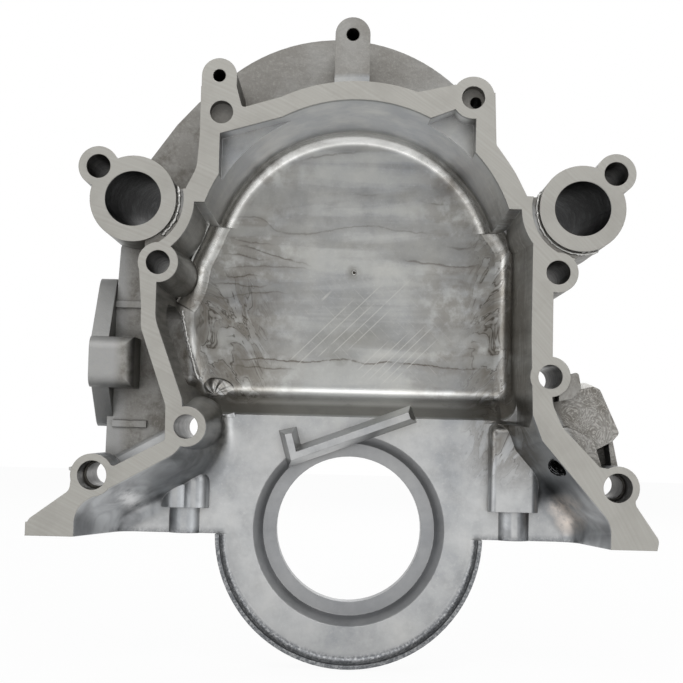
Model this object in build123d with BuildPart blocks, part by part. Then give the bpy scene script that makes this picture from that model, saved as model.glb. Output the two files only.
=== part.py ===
"""Timing cover: a one-piece aluminium casting that closes the front of an engine block.

X runs to the right as seen from the block, Z runs up, and Y is the depth in front of the
block face. The origin is on the crankshaft axis, in the plane of the block face.
"""
from build123d import *
import os

# Depths in front of the block face, in millimetres
tab_drop = 0.8
flange_thickness = 10.0
corner_shelf_depth = 13.0
corner_mass_depth = 20.0
stick_lump_depth = 9.0
stick_boss_depth = 15.0
stick_boss_back = 40.0
stick_foot_depth = 33.0
column_depth = 30.0
rib_depth = 30.0
arm_box_depth = 30.0
lower_floor_depth = 42.0
dowel_boss_depth = 46.0
seal_shelf_depth = 50.0
side_boss_depth = 56.0
pump_plate_depth = 58.0
nose_front_depth = 58.0
upper_floor_depth = 62.0
pump_face_depth = 71.0

# Walls, draft and rounding
wall = 6.0
draft = 3.0
left_sump_draft = 20.0
right_sump_draft = 14.0
foot_corner_radius = 13.0
left_sump_fillet = 10.0
right_sump_fillet = 12.0
floor_fillet = 8.0
rail_height = -3.0
rail_thickness = 6.0
rail_bead_height = 2.2

# Crankshaft seal housing and nose
crank_bore_radius = 34.4
seal_shelf_radius = 40.6
seal_cone_radius = 45.1
seal_cone_draft = 29.0
seal_seat_radius = 38.0
seal_seat_length = 11.0
housing_radius = 49.0
housing_draft = 4.0
nose_radius = 62.4
nose_drop = 1.6
nose_rim = 1.8
nose_rim_height = 6.0
nose_fillet = 4.0
pan_seal_width = 8.0
pan_seal_groove = 3.0

# Camshaft chamber
cam_height = 123.0
cam_pocket_radius = 72.6
cam_flange_radius = 81.0
step_top = 53.0
step_foot = 64.0

# Holes and bosses, as X and Z positions in the block face
bolt_hole_radius = 5.4
bolt_boss_radius = 9.0
low_boss_draft = 7.0
left_bolt = (-88.3, 119.9)
right_bolt = (90.8, 119.5)
mid_bolt = (88.0, 72.8)
low_bolt = (-73.6, 46.8)
dowel_radius = 6.5
dowel_depth = 18.0
dowel_boss_radius = 9.6
left_dowel = (-114.6, 24.3)
right_dowel = (118.7, 24.2)

# Coolant ports, which lean inwards on their way to the pump
port_radius = 12.4
port_ring_radius = 19.4
port_groove_radius = 22.8
port_groove_depth = 2.5
port_wall_radius = 27.5
port_wall_reach = 34.0
port_wall_drop = 12.0
left_port = (-100.4, 148.3)
right_port = (101.4, 148.5)
left_port_front = (-85.5, 148.5)
right_port_front = (86.5, 146.0)
ear_radius = 9.0
left_ear = (-116.3, 162.6)
right_ear = (116.1, 164.5)

# Pump screw tabs above the chamber, and the blind recesses in the block face
tab_radius = 7.9
tab_hole_radius = 2.9
tab_hole_depth = 30.0
left_tab = (-63.2, 205.0)
top_tab = (-3.5, 225.4)
corner_boss_radius = 9.6
recess_radius = 5.2
recess_depth = 6.0
left_recess = (-61.8, 188.4)
right_recess = (51.4, 197.6)
pump_screw = (53.0, 196.6)
pump_screw_radius = 2.6

# Fuel pump side: pad outline in Y and Z, its lugs, and the slot for the pump arm
pump_pad_x = -118.9
pump_pad_thickness = 8.0
pad_lug_size = 23.0
pad_hole_radius = 3.9
pad_hole_depth = 16.0
pad_lug_rounding = 6.0
near_pad_bolt = (17.5, 75.3)
far_pad_bolt = (59.0, 84.0)
near_lug_length = 20.0
far_lug_length = 12.0
arm_slot_centre = (47.0, 83.0)
arm_slot_size = (24.0, 34.0)
arm_slot_corner = 6.0
arm_slot_length = 16.0
arm_pocket_centre = (44.0, 85.0)
arm_pocket_size = (34.0, 38.0)
arm_pocket_corner = 8.0

# Pan screws, columns above them, dipstick hole and baffle rib
pan_bolt_x = 77.4
pan_bolt_depth = 46.0
pan_hole_radius = 3.4
pan_hole_length = 20.0
pan_post_radius = 8.2
pan_post_top = 13.0
left_lobes = (-81.5, -73.0)
lobe_radius = 7.0
lobe_foot = 9.0
lobe_height = 12.5
right_boss_side = (65.0, 88.4)
right_boss_rounding = 4.0
stick_hole_radius = 4.6
stick_hole_start = (89.6, 1.2, 28.8)
stick_hole_direction = (0.45, 0.72, 0.53)
stick_hole_length = 60.0
stick_boss_draft = 6.0
rib_draft = 12.0

# Outline corners: two coordinates and the rounding of that corner
chamber_opening = [
    (-60, 147.5, 0), (-88.7, 147.5, 0), (-88.7, 94.5, 16), (-72.2, 49.5, 0), (80.6, 49.5, 0),
    (79.3, 90, 0), (79.3, 147.5, 0), (60, 147.5, 0),
]
left_sump_opening = [
    (40, 76, 0), (-77.5, 76, 0), (-73.6, 37.2, 12), (-121.9, 10.2, 0), (-122.2, -60, 0), (40, -60, 0),
]
right_sump_opening = [
    (-40, -60, 0), (115.9, -60, 0), (115.9, 8.5, 0), (84.8, 44.3, 0), (79.6, 58, 0),
    (79.4, 76, 0), (-40, 76, 0),
]
left_corner_shelf = [(-30, 188.2, 0), (-62.3, 178.8, 0), (-62.3, 160, 0), (-40, 150, 0)]
right_corner_shelf = [
    (30, 187, 0), (44, 192.4, 0), (52.8, 190, 0), (52.8, 173, 0), (40, 150, 0),
]
flange_outer = [
    (-71.3, 200, 0), (-71.3, 178, 20), (-72.2, 163, 14), (-77.4, 152.5, 0), (-100.4, 148.3, 0),
    (-93, 128, 0), (-96.6, 116, 2), (-95.2, 100, 20), (-95.0, 90.5, 10), (-82.9, 56, 6),
    (-82.7, 40.6, 1.5), (-105, 28.6, 0), (-114.6, 31, 0), (-123.6, 24, 0), (-124.4, 17.4, 4),
    (-142.2, 4.2, 4), (-143.4, -3, 0), (136.3, -3, 0), (137.2, 1.5, 4), (126.4, 17, 4),
    (127, 26, 0), (118.7, 32, 0), (110.5, 33.2, 1.5), (93.4, 50.8, 12), (89.0, 61, 12),
    (88.8, 85, 14), (88.7, 118, 0), (101.4, 128, 0), (101.4, 148.5, 0), (77.0, 152.0, 1.5),
    (70.4, 165.0, 60), (62.1, 176.4, 2.5), (61.2, 200, 0), (43.2, 203.4, 2), (26.6, 199.6, 0),
    (0, 190, 0), (-33.0, 196.6, 0), (-52.6, 190.6, 1.5), (-55.3, 200, 0),
]
pump_seat_centre = (-9.0, 154.0)
pump_seat_radius = 84.0
seat_hollow_radius = 62.0
seat_hollow_depth = 3.5
pump_seat_side = [
    (-30, 200, 0), (-57, 222.5, 0), (-78, 205.5, 8), (-88.5, 194, 8), (-101, 176.5, 8),
    (-109, 158, 4), (-112.5, 131, 4), (-112, 100, 4), (-80, 90, 4), (-70, 60, 4), (74, 60, 4),
    (86, 112, 6), (100, 130, 4), (80, 150, 0), (60, 180, 0),
]
arm_box = [(-70, 27, 0), (-113.8, 27, 3), (-113.5, 50, 0), (-109.5, 132, 3), (-70, 132, 0)]
arm_ridges = (47.5, 103.0)
arm_ridge_height = 1.6
arm_pocket = [
    (-105, 37, 3), (-105, 60.5, 0), (-70, 60.5, 0), (-70, 28, 0), (-88.6, 28, 0), (-96.5, 37, 3),
]
pump_pad = [(4, 76, 11), (36, 121, 10), (72, 84, 11), (40, 41, 10)]
right_boss_profile = [(35.0, 10.5, 0), (35.0, 49, 4), (62, 64.5, 0), (66, 60, 0), (66, 30, 0), (43, 10.5, 0)]
rib = [
    (-30.8, 44.2, 0), (-27.5, 32.1, 0), (27.6, 52.9, 0), (26.4, 55.9, 0), (-25.3, 36.3, 0),
    (-27.6, 45.0, 0),
]
right_web = [(81, 119.5, 0), (92, 119.5, 0), (97, 135, 0), (84, 135, 0)]
left_rail = [
    (-143.3, 0, 0), (-121, 0, 0), (-106, 40.8, 8.5), (-62, 40.8, 0), (-62, 58, 0), (-104, 58, 8),
    (-134, 30, 12), (-143.3, 8, 4),
]
right_rail = [
    (136.3, 0, 0), (137, 8, 4), (128, 30, 12), (104, 58, 8), (62, 58, 0), (62, 40.8, 0),
    (104.5, 40.8, 10.5), (114.7, 0, 0),
]
stick_boss = [
    (86, 66, 0), (100.7, 67.4, 2), (109.5, 69.4, 2), (112.6, 68.2, 2), (121.7, 48.4, 2),
    (118.4, 44.6, 1), (110, 40, 4), (96, 42, 0),
]
stick_boss_foot = [(100, 46, 0), (118.6, 46, 0), (121.2, 33, 0), (106, 30, 0)]
stick_boss_lump = [
    (85, 50, 0), (98, 50.5, 2), (104.5, 47.5, 3), (109.3, 44, 4), (113.5, 31, 3), (106, 24, 0),
]
stick_boss_fin = [(117.2, 46, 0), (119.2, 46, 0), (122, 33, 0), (119, 33, 0)]
mid_lobe = [(92, 72, 0), (100.4, 75.5, 1.5), (101.8, 68.2, 1), (98.2, 63.4, 1), (92, 62, 0)]
left_corner_mass = [
    (-69, 166, 0), (-69.5, 186, 4), (-62, 197, 4), (-52, 190, 0), (-33, 196, 2), (-20, 188, 0),
    (-40, 150, 0), (-60, 150, 0),
]
right_corner_mass = [
    (20, 188, 0), (28, 199, 2), (43, 203, 2), (59, 199, 4), (60, 178, 2), (66, 166, 2),
    (60, 150, 0), (40, 150, 0),
]


def at_depth(depth):
    """Sketch plane parallel to the block face, the given depth in front of it."""
    return Plane.XZ.offset(-depth)


def outline(corners):
    """Closed outline through the corners, each with its own rounding."""
    points = [(x, z) for x, z, _ in corners]
    rounding = [r for _, _, r in corners]
    with BuildLine() as border:
        FilletPolyline(*points, radius=rounding, close=True)
    make_face(border.edges())


def block(corners, start, end, taper=0.0, mode=Mode.ADD):
    """Outline raised along Y between two depths, narrowing forwards by the taper."""
    with BuildSketch(at_depth(start)) as base:
        outline(corners)
    extrude(base.sketch, amount=start - end, taper=taper, mode=mode)


def post(centre, radius, start, end, taper=0.0, mode=Mode.ADD):
    """Round boss or hole along Y between two depths, narrowing forwards by the taper."""
    with BuildSketch(at_depth(start)) as disc:
        with Locations(centre):
            Circle(radius)
    extrude(disc.sketch, amount=start - end, taper=taper, mode=mode)


def shell(corners, depth, angle):
    """Outside of a wall: the opening grown by the wall, from just under the block face."""
    with BuildSketch(at_depth(port_groove_depth)) as grown:
        outline(corners)
        offset(amount=wall, kind=Kind.INTERSECTION)
    extrude(grown.sketch, amount=port_groove_depth - depth, taper=angle)


# Inside of the casting, as the core that leaves it: camshaft chamber, step and sump end
with BuildPart() as cam_core:
    post((0, cam_height), cam_pocket_radius, 0, upper_floor_depth, taper=draft)
    fillet(cam_core.faces().sort_by(Axis.Y)[-1].edges(), floor_fillet)
    split(bisect_by=Plane.XY.offset(cam_height), keep=Keep.TOP)

with BuildPart() as chamber_core:
    block(chamber_opening, 0, upper_floor_depth, taper=draft)
    with BuildSketch(Plane.YZ):
        with BuildLine():
            Polyline((lower_floor_depth, step_top), (upper_floor_depth, step_foot),
                     (upper_floor_depth, 0), (lower_floor_depth, 0), close=True)
        make_face()
    extrude(amount=200, both=True, mode=Mode.SUBTRACT)
    step_edges = chamber_core.edges().filter_by(
        lambda edge: edge.center().Y > 0.5 * (lower_floor_depth + upper_floor_depth) - 0.1
        and edge.center().Z < cam_height and (abs(edge.center().X) > 60 or edge.center().Z > step_foot - 0.1)
    )
    fillet(step_edges, floor_fillet)


def sump_core(corners, angle, rounding):
    """Core of one side of the sump end: open below, with a rounded foot corner."""
    with BuildPart() as side:
        block(corners, 0, lower_floor_depth, taper=angle)
        foot_edges = side.edges().filter_by(
            lambda edge: abs(edge.center().X) > 90 and 0 < edge.center().Z < 25
            and 0.3 * lower_floor_depth < edge.center().Y < 0.7 * lower_floor_depth
        )
        fillet(foot_edges, foot_corner_radius)
        floor_edges = side.faces().sort_by(Axis.Y)[-1].edges()
        fillet(floor_edges.filter_by(lambda edge: abs(edge.center().X) > 60 and edge.center().Z < 66), rounding)
    return side.part


left_core = sump_core(left_sump_opening, left_sump_draft, left_sump_fillet)
right_core = sump_core(right_sump_opening, right_sump_draft, right_sump_fillet)

with BuildPart() as core:
    add(cam_core.part)
    add(chamber_core.part)
    block(left_corner_shelf, 0, corner_shelf_depth)
    block(right_corner_shelf, 0, corner_shelf_depth)
    add(left_core)
    add(right_core)


def port_wall(centre):
    """Wall of a coolant port where it bulges into the camshaft chamber."""
    side = 1 if centre[0] > 0 else -1
    with BuildPart() as bulge:
        post(centre, port_wall_radius, 0, upper_floor_depth, taper=-draft / 2)
        with Locations((centre[0] - side * port_wall_radius, 0, centre[1] - port_wall_drop)):
            Box(port_wall_reach, 3 * upper_floor_depth, port_wall_reach, mode=Mode.INTERSECT)
    return bulge.part


def port_passage(centre, front):
    """Water passage that leans inwards from the block face to the pump seat."""
    mouth = Vector(centre[0], 0, centre[1])
    run = Vector(front[0], pump_face_depth, front[1]) - mouth
    with BuildPart(Plane(origin=mouth + run * 0.5, z_dir=run)) as passage:
        Cylinder(port_radius, 1.1 * run.length)
    return passage.part


bulges = [port_wall(left_port), port_wall(right_port)]
passages = [port_passage(left_port, left_port_front), port_passage(right_port, right_port_front)]

# Nose under the seal housing, closed by the oil pan seal
with BuildPart() as nose:
    with BuildSketch(at_depth(lower_floor_depth - nose_rim_height)) as half_disc:
        with Locations((0, -nose_drop)):
            Circle(nose_radius)
        with Locations((0, rail_height)):
            Rectangle(3 * nose_radius, 2 * nose_radius, align=(Align.CENTER, Align.MIN), mode=Mode.SUBTRACT)
    extrude(amount=lower_floor_depth - nose_rim_height - nose_front_depth)
    post((0, -nose_drop), nose_radius - nose_rim, lower_floor_depth - nose_rim_height, lower_floor_depth,
         mode=Mode.SUBTRACT)
    rim_edges = nose.edges().filter_by(
        lambda edge: edge.geom_type == GeomType.CIRCLE
        and abs(edge.center().Y - lower_floor_depth) < 0.01
        and abs(edge.radius - nose_radius + nose_rim) < 0.01
    )
    fillet(rim_edges, nose_fillet)
    with BuildSketch(at_depth(lower_floor_depth + 3)) as groove:
        with Locations((0, -nose_drop)):
            Circle(nose_radius + 5)
            Circle(nose_radius - pan_seal_groove, mode=Mode.SUBTRACT)
    extrude(groove.sketch, amount=-pan_seal_width, mode=Mode.SUBTRACT)

# Square lug of the fuel pump pad nearest the block
with BuildPart() as near_lug:
    with Locations((pump_pad_x, *near_pad_bolt)):
        Box(near_lug_length, pad_lug_size, pad_lug_size, align=(Align.MIN, Align.CENTER, Align.CENTER))
    near_edges = near_lug.faces().sort_by(Axis.Y)[0].edges()
    fillet(near_edges.filter_by(Axis.X) + near_edges.filter_by(Axis.Z).sort_by(Axis.X)[-1:], pad_lug_rounding)


# Bosses over the pan screws: a domed post each, behind two lobes on the left and a broad
# drafted face on the right
with BuildPart() as left_boss:
    with Locations([(lobe, lower_floor_depth, lobe_foot) for lobe in left_lobes]):
        Cylinder(lobe_radius, lobe_height, align=(Align.CENTER, Align.CENTER, Align.MIN))
    with Locations([(lobe, lower_floor_depth, lobe_foot + lobe_height) for lobe in left_lobes]):
        Sphere(lobe_radius)

with BuildPart() as right_boss:
    with BuildSketch(Plane.YZ.offset(right_boss_side[0])):
        outline(right_boss_profile)
    extrude(amount=right_boss_side[1] - right_boss_side[0])
    upright = right_boss.edges().filter_by(
        lambda edge: abs(edge.center().Y - right_boss_profile[0][0]) < 0.1 and abs(edge.center().X - 76) > 5
    )
    fillet(upright, right_boss_rounding)

with BuildPart() as pan_posts:
    with Locations((-pan_bolt_x, pan_bolt_depth, rail_height), (pan_bolt_x, pan_bolt_depth, rail_height)):
        Cylinder(pan_post_radius, pan_post_top - rail_height, align=(Align.CENTER, Align.CENTER, Align.MIN))
    with Locations((-pan_bolt_x, pan_bolt_depth, pan_post_top), (pan_bolt_x, pan_bolt_depth, pan_post_top)):
        Sphere(pan_post_radius)

# Hollow in which the fuel pump arm moves
with BuildPart() as arm_hollow:
    with BuildSketch(Plane.YZ.offset(arm_pocket[0][0])):
        with Locations(arm_pocket_centre):
            RectangleRounded(*arm_pocket_size, arm_pocket_corner)
    extrude(amount=arm_pocket[2][0] - arm_pocket[0][0])
    with BuildSketch(Plane.XY):
        outline(arm_pocket)
    extrude(amount=cam_height, mode=Mode.INTERSECT)

with BuildPart() as timing_cover:
    # Outside of the walls round the two hollows
    post((0, cam_height), cam_pocket_radius + wall, port_groove_depth, pump_plate_depth, taper=draft)
    shell(chamber_opening, upper_floor_depth + wall, draft)
    shell(left_sump_opening, lower_floor_depth + wall, left_sump_draft)
    shell(right_sump_opening, lower_floor_depth + wall, right_sump_draft)
    block(arm_box, arm_box_depth, upper_floor_depth + wall)
    with Locations([(pump_pad_x + pump_pad_thickness, arm_box_depth, ridge) for ridge in arm_ridges]):
        Box(16, 2 * arm_ridge_height, 2 * arm_ridge_height, align=(Align.MIN, Align.CENTER, Align.CENTER))
    block(stick_boss, stick_boss_depth, stick_boss_back, taper=-stick_boss_draft)
    block(stick_boss_foot, stick_foot_depth, stick_boss_back)
    block(stick_boss_fin, stick_boss_depth + 4, stick_boss_back)
    block(stick_boss_lump, stick_lump_depth, stick_boss_back, taper=-stick_boss_draft)
    block(left_corner_mass, 0, corner_mass_depth)
    block(right_corner_mass, 0, corner_mass_depth)
    block(mid_lobe, tab_drop, stick_boss_back)
    with Locations((0, 0, rail_height)):
        Box(400, 400, 100, align=(Align.CENTER, Align.CENTER, Align.MAX), mode=Mode.SUBTRACT)
    # Block face
    with BuildSketch(at_depth(0)):
        outline(flange_outer)
        with Locations((0, cam_height)):
            Circle(cam_flange_radius)
        with Locations(left_bolt, right_bolt, mid_bolt, low_bolt):
            Circle(bolt_boss_radius)
        with Locations(left_dowel, right_dowel):
            Circle(dowel_boss_radius)
        with Locations(left_recess, right_recess):
            Circle(corner_boss_radius)
    extrude(amount=-flange_thickness)
    # Seat of the water pump
    with BuildSketch(at_depth(pump_plate_depth)):
        with Locations(pump_seat_centre):
            Circle(pump_seat_radius)
        outline(pump_seat_side)
    extrude(amount=pump_plate_depth - pump_face_depth)
    post((0, cam_height), seat_hollow_radius, pump_face_depth - seat_hollow_depth, pump_face_depth + 1,
         mode=Mode.SUBTRACT)
    # Tabs for the pump screws, standing on the pump seat
    for tab, foot, drop in (
        (left_tab, left_recess[1], 0), (top_tab, cam_height + cam_flange_radius - 4, tab_drop),
    ):
        with BuildSketch(at_depth(drop)):
            with Locations(tab):
                Circle(tab_radius)
                Rectangle(2 * tab_radius, tab[1] - foot, align=(Align.CENTER, Align.MAX))
        extrude(amount=drop - pump_plate_depth)
    # Pad for the fuel pump
    with BuildSketch(Plane.YZ.offset(pump_pad_x)):
        outline(pump_pad)
    extrude(amount=pump_pad_thickness)
    add(near_lug.part)
    with BuildSketch(Plane.YZ.offset(pump_pad_x)):
        with Locations(far_pad_bolt):
            Circle(pad_lug_size / 2)
    extrude(amount=far_lug_length)
    # Pan rail
    with BuildSketch(Plane.XY.offset(rail_height)):
        outline(left_rail)
        outline(right_rail)
    extrude(amount=rail_thickness)
    add(core.part, mode=Mode.SUBTRACT)
    # Bosses and ports
    add(bulges)
    block(right_web, 0, pump_plate_depth)
    for centre in (left_port, right_port):
        post(centre, port_groove_radius, -1, port_groove_depth, mode=Mode.SUBTRACT)
        post(centre, port_ring_radius, 0, pump_face_depth)
    for centre in (left_ear, right_ear):
        post(centre, ear_radius, 0, pump_face_depth)
    post(right_recess, corner_boss_radius, 0, pump_plate_depth)
    post(left_bolt, bolt_boss_radius, 0, pump_face_depth, taper=-draft)
    post(right_bolt, bolt_boss_radius, 0, pump_face_depth)
    post(mid_bolt, bolt_boss_radius, 0, side_boss_depth)
    post(low_bolt, bolt_boss_radius, 0, lower_floor_depth + wall, taper=-low_boss_draft)
    for centre in (left_dowel, right_dowel):
        post(centre, dowel_boss_radius, 0, dowel_boss_depth)
    # Crankshaft seal housing and nose
    post((0, 0), housing_radius, lower_floor_depth + wall, pump_face_depth, taper=housing_draft)
    add(nose.part)
    # Bosses over the pan screws, and baffle rib
    add(left_boss.part)
    add(right_boss.part)
    add(pan_posts.part)
    block(rib, rib_depth, lower_floor_depth + 1, taper=-rib_draft)
    # Crankshaft opening
    post((0, 0), seal_cone_radius, lower_floor_depth, seal_shelf_depth, taper=seal_cone_draft, mode=Mode.SUBTRACT)
    post((0, 0), crank_bore_radius, lower_floor_depth, pump_face_depth + 1, mode=Mode.SUBTRACT)
    post((0, 0), seal_seat_radius, pump_face_depth - seal_seat_length, pump_face_depth + 1, mode=Mode.SUBTRACT)
    # Holes through the casting
    for passage in passages:
        add(passage, mode=Mode.SUBTRACT)
    for centre in (left_bolt, right_bolt, mid_bolt, low_bolt, left_ear, right_ear, left_dowel, right_dowel):
        post(centre, bolt_hole_radius, -1, pump_face_depth + 1, mode=Mode.SUBTRACT)
    for centre in (left_dowel, right_dowel):
        post(centre, dowel_radius, -1, dowel_depth, mode=Mode.SUBTRACT)
    for centre in (left_recess, right_recess):
        post(centre, recess_radius, -1, recess_depth, mode=Mode.SUBTRACT)
    for centre in (left_tab, top_tab):
        post(centre, tab_hole_radius, -1, tab_hole_depth, mode=Mode.SUBTRACT)
    post(pump_screw, pump_screw_radius, 0, pump_face_depth + 1, mode=Mode.SUBTRACT)
    # Slot for the pump arm, and the pad's screw holes
    with BuildSketch(Plane.YZ.offset(pump_pad_x - 1)):
        with Locations(arm_slot_centre):
            RectangleRounded(*arm_slot_size, arm_slot_corner)
    extrude(amount=arm_slot_length, mode=Mode.SUBTRACT)
    add(arm_hollow.part, mode=Mode.SUBTRACT)
    with BuildSketch(Plane.YZ.offset(pump_pad_x - 1)):
        with Locations(near_pad_bolt, far_pad_bolt):
            Circle(pad_hole_radius)
    extrude(amount=pad_hole_depth + 1, mode=Mode.SUBTRACT)
    # Pan screws and dipstick hole
    with BuildSketch(Plane.XY.offset(rail_height - 1)):
        with Locations((-pan_bolt_x, pan_bolt_depth), (pan_bolt_x, pan_bolt_depth)):
            Circle(pan_hole_radius)
    extrude(amount=pan_hole_length + 1, mode=Mode.SUBTRACT)
    with BuildSketch(Plane(origin=stick_hole_start, z_dir=stick_hole_direction)):
        Circle(stick_hole_radius)
    extrude(amount=stick_hole_length, mode=Mode.SUBTRACT)

timing_cover.part.label = "timing_cover"
os.makedirs("parts", exist_ok=True)
export_step(timing_cover.part, "parts/timing_cover.step")
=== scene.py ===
# %% [markdown]
# # Timing cover
# This lesson dresses one die-cast aluminium timing cover, the part that closes the front of an
# engine block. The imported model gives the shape; here it gets its skin, its machined faces, its
# stains and its small marks. Every place is in the model's own frame: X to the right seen from the
# block, Y forward, Z up, with the origin on the crankshaft axis. Objects are built in metres.

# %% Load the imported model
import bpy
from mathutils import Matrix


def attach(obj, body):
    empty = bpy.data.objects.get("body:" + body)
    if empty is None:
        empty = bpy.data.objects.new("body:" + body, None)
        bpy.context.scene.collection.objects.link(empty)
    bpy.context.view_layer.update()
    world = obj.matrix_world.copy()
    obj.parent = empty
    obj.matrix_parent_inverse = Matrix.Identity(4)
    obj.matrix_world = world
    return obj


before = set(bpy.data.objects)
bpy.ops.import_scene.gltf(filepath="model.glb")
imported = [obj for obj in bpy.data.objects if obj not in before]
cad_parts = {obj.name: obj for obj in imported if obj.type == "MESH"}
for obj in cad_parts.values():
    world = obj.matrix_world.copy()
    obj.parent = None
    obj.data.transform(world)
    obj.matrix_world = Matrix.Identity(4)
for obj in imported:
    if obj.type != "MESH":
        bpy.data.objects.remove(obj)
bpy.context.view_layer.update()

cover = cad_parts["timing_cover"]
print("cover mesh", len(cover.data.vertices), "points,", len(cover.data.polygons), "faces")

# %% [markdown]
# ## Camera
# The photograph was taken square to the block face from about two thirds of a metre, with a long
# lens. The camera stands a little to the left of the crankshaft axis and rolls about a degree, so
# its three directions are given as they were measured and built into one matrix.

# %% Place the camera
from mathutils import Matrix, Vector

camera_place = Vector((-0.00282, -0.650, 0.0470))
camera_forward = Vector((-0.003858, 0.998170, 0.060347))
camera_up = Vector((-0.024199, -0.060423, 0.997880))
camera_right = camera_forward.cross(camera_up).normalized()
camera_data = bpy.data.cameras.new("camera")
camera_data.sensor_width = 36.0
camera_data.lens = 77.06
camera_data.clip_start = 0.01
camera = bpy.data.objects.new("camera", camera_data)
bpy.context.scene.collection.objects.link(camera)
turn = Matrix((camera_right, camera_up, -camera_forward)).transposed().to_4x4()
camera.matrix_world = Matrix.Translation(camera_place) @ turn
bpy.context.scene.camera = camera
bpy.context.scene.view_settings.view_transform = "Standard"
print("camera", [round(v, 4) for v in camera.location], "lens", camera_data.lens)

# %% [markdown]
# ## Colours and nodes
# Paint charts give colours as sRGB hex values, while the renderer works in linear light, so one
# function turns the first into the second. One more function adds a shader node with its settings
# and its links, which keeps each material readable from top to bottom.

# %% Colour helper
def linear(hex_colour):
    """RGBA in linear light from an sRGB hex value."""
    parts = [int(hex_colour[i:i + 2], 16) / 255 for i in (1, 3, 5)]
    return tuple(p / 12.92 if p <= 0.04045 else ((p + 0.055) / 1.055) ** 2.4
                 for p in parts) + (1.0,)


print("white is", linear("#ffffff"))


# %% Node helper
def node(tree, kind, settings=None, **links):
    """Adds a node. A link names an input socket, and holds a value or another node's socket.
    Sockets that share a name are given by number, as n0, n1 and so on."""
    made = tree.nodes.new(kind)
    for key, value in (settings or {}).items():
        setattr(made, key, value)
    for key, value in links.items():
        by_number = key[0] == "n" and key[1:].isdigit()
        socket = made.inputs[int(key[1:]) if by_number else key.replace("_", " ")]
        if isinstance(value, bpy.types.NodeSocket):
            tree.links.new(value, socket)
        else:
            socket.default_value = value
    return made


print("one helper adds every node")

# %% [markdown]
# ## Floor and backdrop
# A catalogue photograph has a white surround. The floor and the world could be lit until they are
# white, but that would wash out the casting. Light Path tells which rays come from the camera or
# off metal, and only those see plain white at a strength of 1. A twentieth of the floor stays matt,
# which keeps the cover's shadow.

# %% White for the rays that see it
def seen_or_mirrored(tree):
    """1 for rays that come from the camera, off metal or through glass."""
    path = node(tree, "ShaderNodeLightPath")
    seen = path.outputs["Is Camera Ray"]
    for kind in ("Is Glossy Ray", "Is Transmission Ray"):
        seen = node(tree, "ShaderNodeMath", {"operation": "MAXIMUM"}, n0=seen,
                    n1=path.outputs[kind]).outputs[0]
    return seen


floor_white = bpy.data.materials.new("floor_white")
floor_white.use_nodes = True
tree = floor_white.node_tree
tree.nodes.clear()
white_share = 0.95
matt = node(tree, "ShaderNodeBsdfDiffuse", Color=linear("#e8e8e6"))
white = node(tree, "ShaderNodeEmission", Color=linear("#ffffff"), Strength=1.0)
share = node(tree, "ShaderNodeMath", {"operation": "MULTIPLY"}, n0=seen_or_mirrored(tree),
             n1=white_share)
mix = node(tree, "ShaderNodeMixShader", n0=share.outputs[0], n1=matt.outputs[0],
           n2=white.outputs[0])
node(tree, "ShaderNodeOutputMaterial", Surface=mix.outputs[0])
print("floor is", round(100 * white_share), "% plain white")

# %% Floor
floor_height = -0.0645
floor_reach = 3.0
corners = [(x, y, floor_height) for x, y in ((-floor_reach, -floor_reach),
                                             (floor_reach, -floor_reach),
                                             (floor_reach, floor_reach),
                                             (-floor_reach, floor_reach))]
floor_mesh = bpy.data.meshes.new("floor")
floor_mesh.from_pydata(corners, [], [(0, 1, 2, 3)])
floor_mesh.materials.append(floor_white)
floor = bpy.data.objects.new("floor", floor_mesh)
bpy.context.scene.collection.objects.link(floor)
print("floor at Z", floor_height)

# %% World
world = bpy.data.worlds.new("studio")
bpy.context.scene.world = world
world.use_nodes = True
tree = world.node_tree
tree.nodes.clear()
around = node(tree, "ShaderNodeBackground", Color=linear("#f4f6fa"), Strength=0.6)
white = node(tree, "ShaderNodeBackground", Color=linear("#ffffff"), Strength=1.0)
mixed = node(tree, "ShaderNodeMixShader", n0=seen_or_mirrored(tree), n1=around.outputs[0],
             n2=white.outputs[0])
node(tree, "ShaderNodeOutputWorld", Surface=mixed.outputs[0])
print("world", world.name)

# %% [markdown]
# ## Lamps
# Large softboxes above and on both sides give the bright lines along the fillets. A small one from
# below lifts the roof of the chamber, and one behind the cover lights its pump side.

# %% Softboxes
def softbox(name, place, width, height, power, aim=(0.0, 0.03, 0.09)):
    """Area lamp that looks at the middle of the cover, unless it is aimed elsewhere."""
    light = bpy.data.lights.new(name, "AREA")
    light.shape = "RECTANGLE"
    light.size, light.size_y, light.energy = width, height, power
    lamp = bpy.data.objects.new(name, light)
    lamp.location = place
    lamp.rotation_euler = (Vector(aim) - Vector(place)).to_track_quat("-Z", "Y").to_euler()
    lamp.visible_camera = False
    bpy.context.scene.collection.objects.link(lamp)


softbox("top_softbox", (0.0, -0.85, 0.95), 1.0, 0.5, 4.0)
softbox("left_softbox", (-0.95, -0.75, 0.25), 0.5, 0.9, 2.6)
softbox("right_softbox", (0.95, -0.75, 0.25), 0.5, 0.9, 2.6)
softbox("low_softbox", (0.0, -0.30, -0.05), 0.6, 0.22, 0.28, aim=(0.0, 0.0, 0.2))
softbox("back_softbox", (0.3, 1.1, 0.8), 0.9, 0.6, 5.5)
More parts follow.
